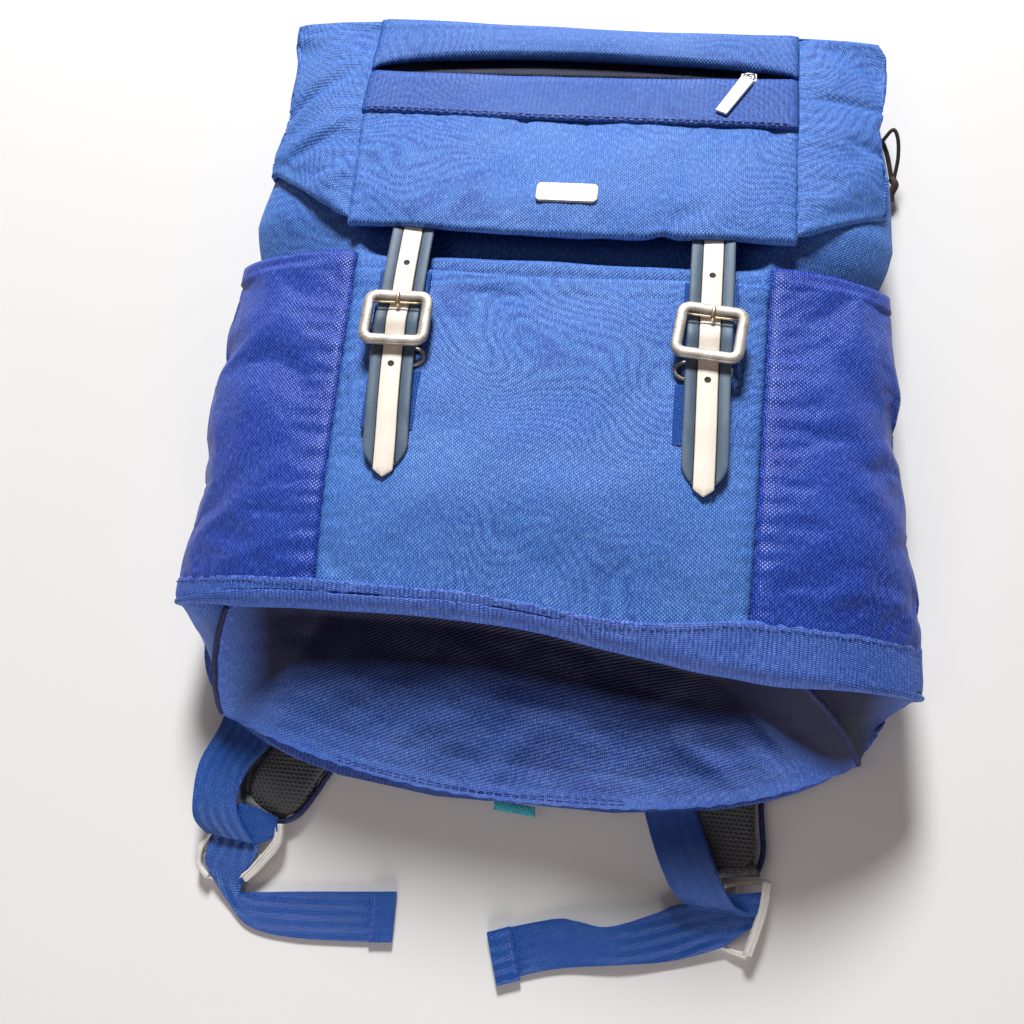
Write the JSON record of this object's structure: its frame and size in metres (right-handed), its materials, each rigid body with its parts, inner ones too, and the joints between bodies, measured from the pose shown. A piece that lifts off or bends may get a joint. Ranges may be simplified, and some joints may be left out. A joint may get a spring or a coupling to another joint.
{
  "type": "flap-top backpack",
  "caption": "Flap-top day backpack with belt-and-buckle closures, front and side pockets, padded straps and a laptop compartment, lying on its back.",
  "frame": {"origin": "on the lumbar pad's outer face, on the bag's middle plane, level with the front bottom rim", "axes": "+Z out of the bag's front, +Y towards its top, +X towards the viewer's right when facing the front with the top up"},
  "size_m": [0.4284, 0.5909, 0.1155],
  "materials": {
    "mid_blue": "plain-weave polyester",
    "violet_blue": "smooth nylon",
    "base_blue": "plain-weave polyester",
    "webbing_blue": "herringbone webbing",
    "slate": "coated leatherette",
    "cream": "coated leatherette",
    "antique_silver": "worn antique",
    "brass": "satin",
    "satin_silver": "satin",
    "charcoal_mesh": "spacer mesh",
    "white_plastic": "moulded",
    "navy": "binding tape",
    "brown": "flat thong",
    "teal": "tape",
    "lining_grey": "padded lining"
  },
  "bodies": {
    "bag": {"back_pad_lumbar": "charcoal_mesh", "back_pad_upper": "charcoal_mesh", "back_panel": "base_blue", "back_stiffener": "lining_grey", "front_panel": "mid_blue", "gusset_left": "mid_blue", "gusset_right": "mid_blue", "bottom_panel": "base_blue", "rim_piping": "mid_blue", "front_pocket": "mid_blue", "side_pocket_left": "violet_blue", "side_pocket_right": "violet_blue", "mouth_binding": "navy", "laptop_sleeve": "lining_grey", "closure_tab_left": "webbing_blue", "closure_tab_right": "webbing_blue", "strap_web_left": "webbing_blue", "strap_web_right": "webbing_blue", "size_tag": "teal", "laptop_zip_tape": "navy"},
    "flap": {"flap_shell": "mid_blue", "flap_hood": "mid_blue", "flap_placket": "mid_blue", "flap_zip_tape": "navy", "badge": "satin_silver", "belt_anchor_left": "slate", "belt_anchor_right": "slate"},
    "flap_slider": {"flap_zip_slider": "satin_silver"},
    "flap_pull": {"flap_zip_pull": "satin_silver"},
    "laptop_slider": {"laptop_zip_slider": "satin_silver", "thong_pull": "brown"},
    "handle": {"grab_handle": "webbing_blue"},
    "belt_left": {"belt_left": "slate", "belt_stripe_left": "cream", "belt_hook_left": "antique_silver"},
    "buckle_left": {"buckle_left": "antique_silver"},
    "prong_left": {"prong_left": "brass"},
    "ring_left": {"closure_ring_left": "antique_silver"},
    "strap_left": {"shoulder_strap_left": "charcoal_mesh"},
    "lock_left": {"ladder_lock_left": "white_plastic", "web_tail_left": "webbing_blue"},
    "belt_right": {"belt_right": "slate", "belt_stripe_right": "cream", "belt_hook_right": "antique_silver"},
    "buckle_right": {"buckle_right": "antique_silver"},
    "prong_right": {"prong_right": "brass"},
    "ring_right": {"closure_ring_right": "antique_silver"},
    "strap_right": {"shoulder_strap_right": "charcoal_mesh"},
    "lock_right": {"ladder_lock_right": "white_plastic", "web_tail_right": "webbing_blue"}
  },
  "joints": [
    {"name": "flap_hinge", "type": "hinge", "parent": "bag", "child": "flap", "pos_m": [0, 0.4065, 0.0165], "axis": [-1, 0, 0], "range_deg": [0, 130]},
    {"name": "belt_lift_left", "type": "hinge", "parent": "flap", "child": "belt_left", "pos_m": [-0.0875, 0.2454, 0.0832], "axis": [-1, 0, 0], "range_deg": [0, 50]},
    {"name": "buckle_tilt_left", "type": "hinge", "parent": "belt_left", "child": "buckle_left", "pos_m": [-0.0875, 0.195, 0.09993], "axis": [-1, 0, 0], "range_deg": [0, 60]},
    {"name": "prong_lift_left", "type": "hinge", "parent": "buckle_left", "child": "prong_left", "pos_m": [-0.0875, 0.195, 0.09993], "axis": [-1, 0, 0], "range_deg": [0, 70]},
    {"name": "ring_swing_left", "type": "hinge", "parent": "bag", "child": "ring_left", "pos_m": [-0.0845, 0.15086, 0.09815], "axis": [1, 0, 0], "range_deg": [0, 30]},
    {"name": "strap_swing_left", "type": "hinge", "parent": "bag", "child": "strap_left", "pos_m": [-0.055, 0.3765, 0.0049], "axis": [1, 0, 0], "range_deg": [0, 15], "deforming": ["strap_web_left"]},
    {"name": "lock_tilt_left", "type": "hinge", "parent": "strap_left", "child": "lock_left", "pos_m": [-0.1717, -0.11228, 0.0044], "axis": [0.9781, 0.2079, 0], "range_deg": [-20, 20]},
    {"name": "belt_lift_right", "type": "hinge", "parent": "flap", "child": "belt_right", "pos_m": [0.0875, 0.2454, 0.0832], "axis": [-1, 0, 0], "range_deg": [0, 50]},
    {"name": "buckle_tilt_right", "type": "hinge", "parent": "belt_right", "child": "buckle_right", "pos_m": [0.08928, 0.19491, 0.09993], "axis": [-0.9945, 0.1045, 0], "range_deg": [0, 60]},
    {"name": "prong_lift_right", "type": "hinge", "parent": "buckle_right", "child": "prong_right", "pos_m": [0.08928, 0.19491, 0.09993], "axis": [-0.9945, 0.1045, 0], "range_deg": [0, 70]},
    {"name": "ring_swing_right", "type": "hinge", "parent": "bag", "child": "ring_right", "pos_m": [0.0845, 0.15086, 0.09815], "axis": [1, 0, 0], "range_deg": [0, 30]},
    {"name": "strap_swing_right", "type": "hinge", "parent": "bag", "child": "strap_right", "pos_m": [0.055, 0.3765, 0.0049], "axis": [1, 0, 0], "range_deg": [0, 15], "deforming": ["strap_web_right"]},
    {"name": "lock_tilt_right", "type": "hinge", "parent": "strap_right", "child": "lock_right", "pos_m": [0.11628, -0.1303, 0.0044], "axis": [0.2079, 0.9781, 0], "range_deg": [-20, 20]},
    {"name": "flap_zip_slide", "type": "slide", "parent": "flap", "child": "flap_slider", "axis": [-1, 0, 0], "range_m": [0, 0.205]},
    {"name": "flap_pull_swing", "type": "hinge", "parent": "flap_slider", "child": "flap_pull", "pos_m": [0.104, 0.3616, 0.0652], "axis": [-1, 0, 0], "range_deg": [0, 110]},
    {"name": "laptop_zip_slide", "type": "slide", "parent": "bag", "child": "laptop_slider", "axis": [0.0438, -0.999, 0.0023], "range_m": [0, 0.1]},
    {"name": "handle_swing", "type": "hinge", "parent": "bag", "child": "handle", "pos_m": [0, 0.383, 0.006], "axis": [1, 0, 0], "range_deg": [0, 110]}
  ],
  "couplings": [
    {"joint": "ring_swing_left", "follows": "belt_lift_left", "ratio": 0.5},
    {"joint": "ring_swing_right", "follows": "belt_lift_right", "ratio": 0.5}
  ]
}
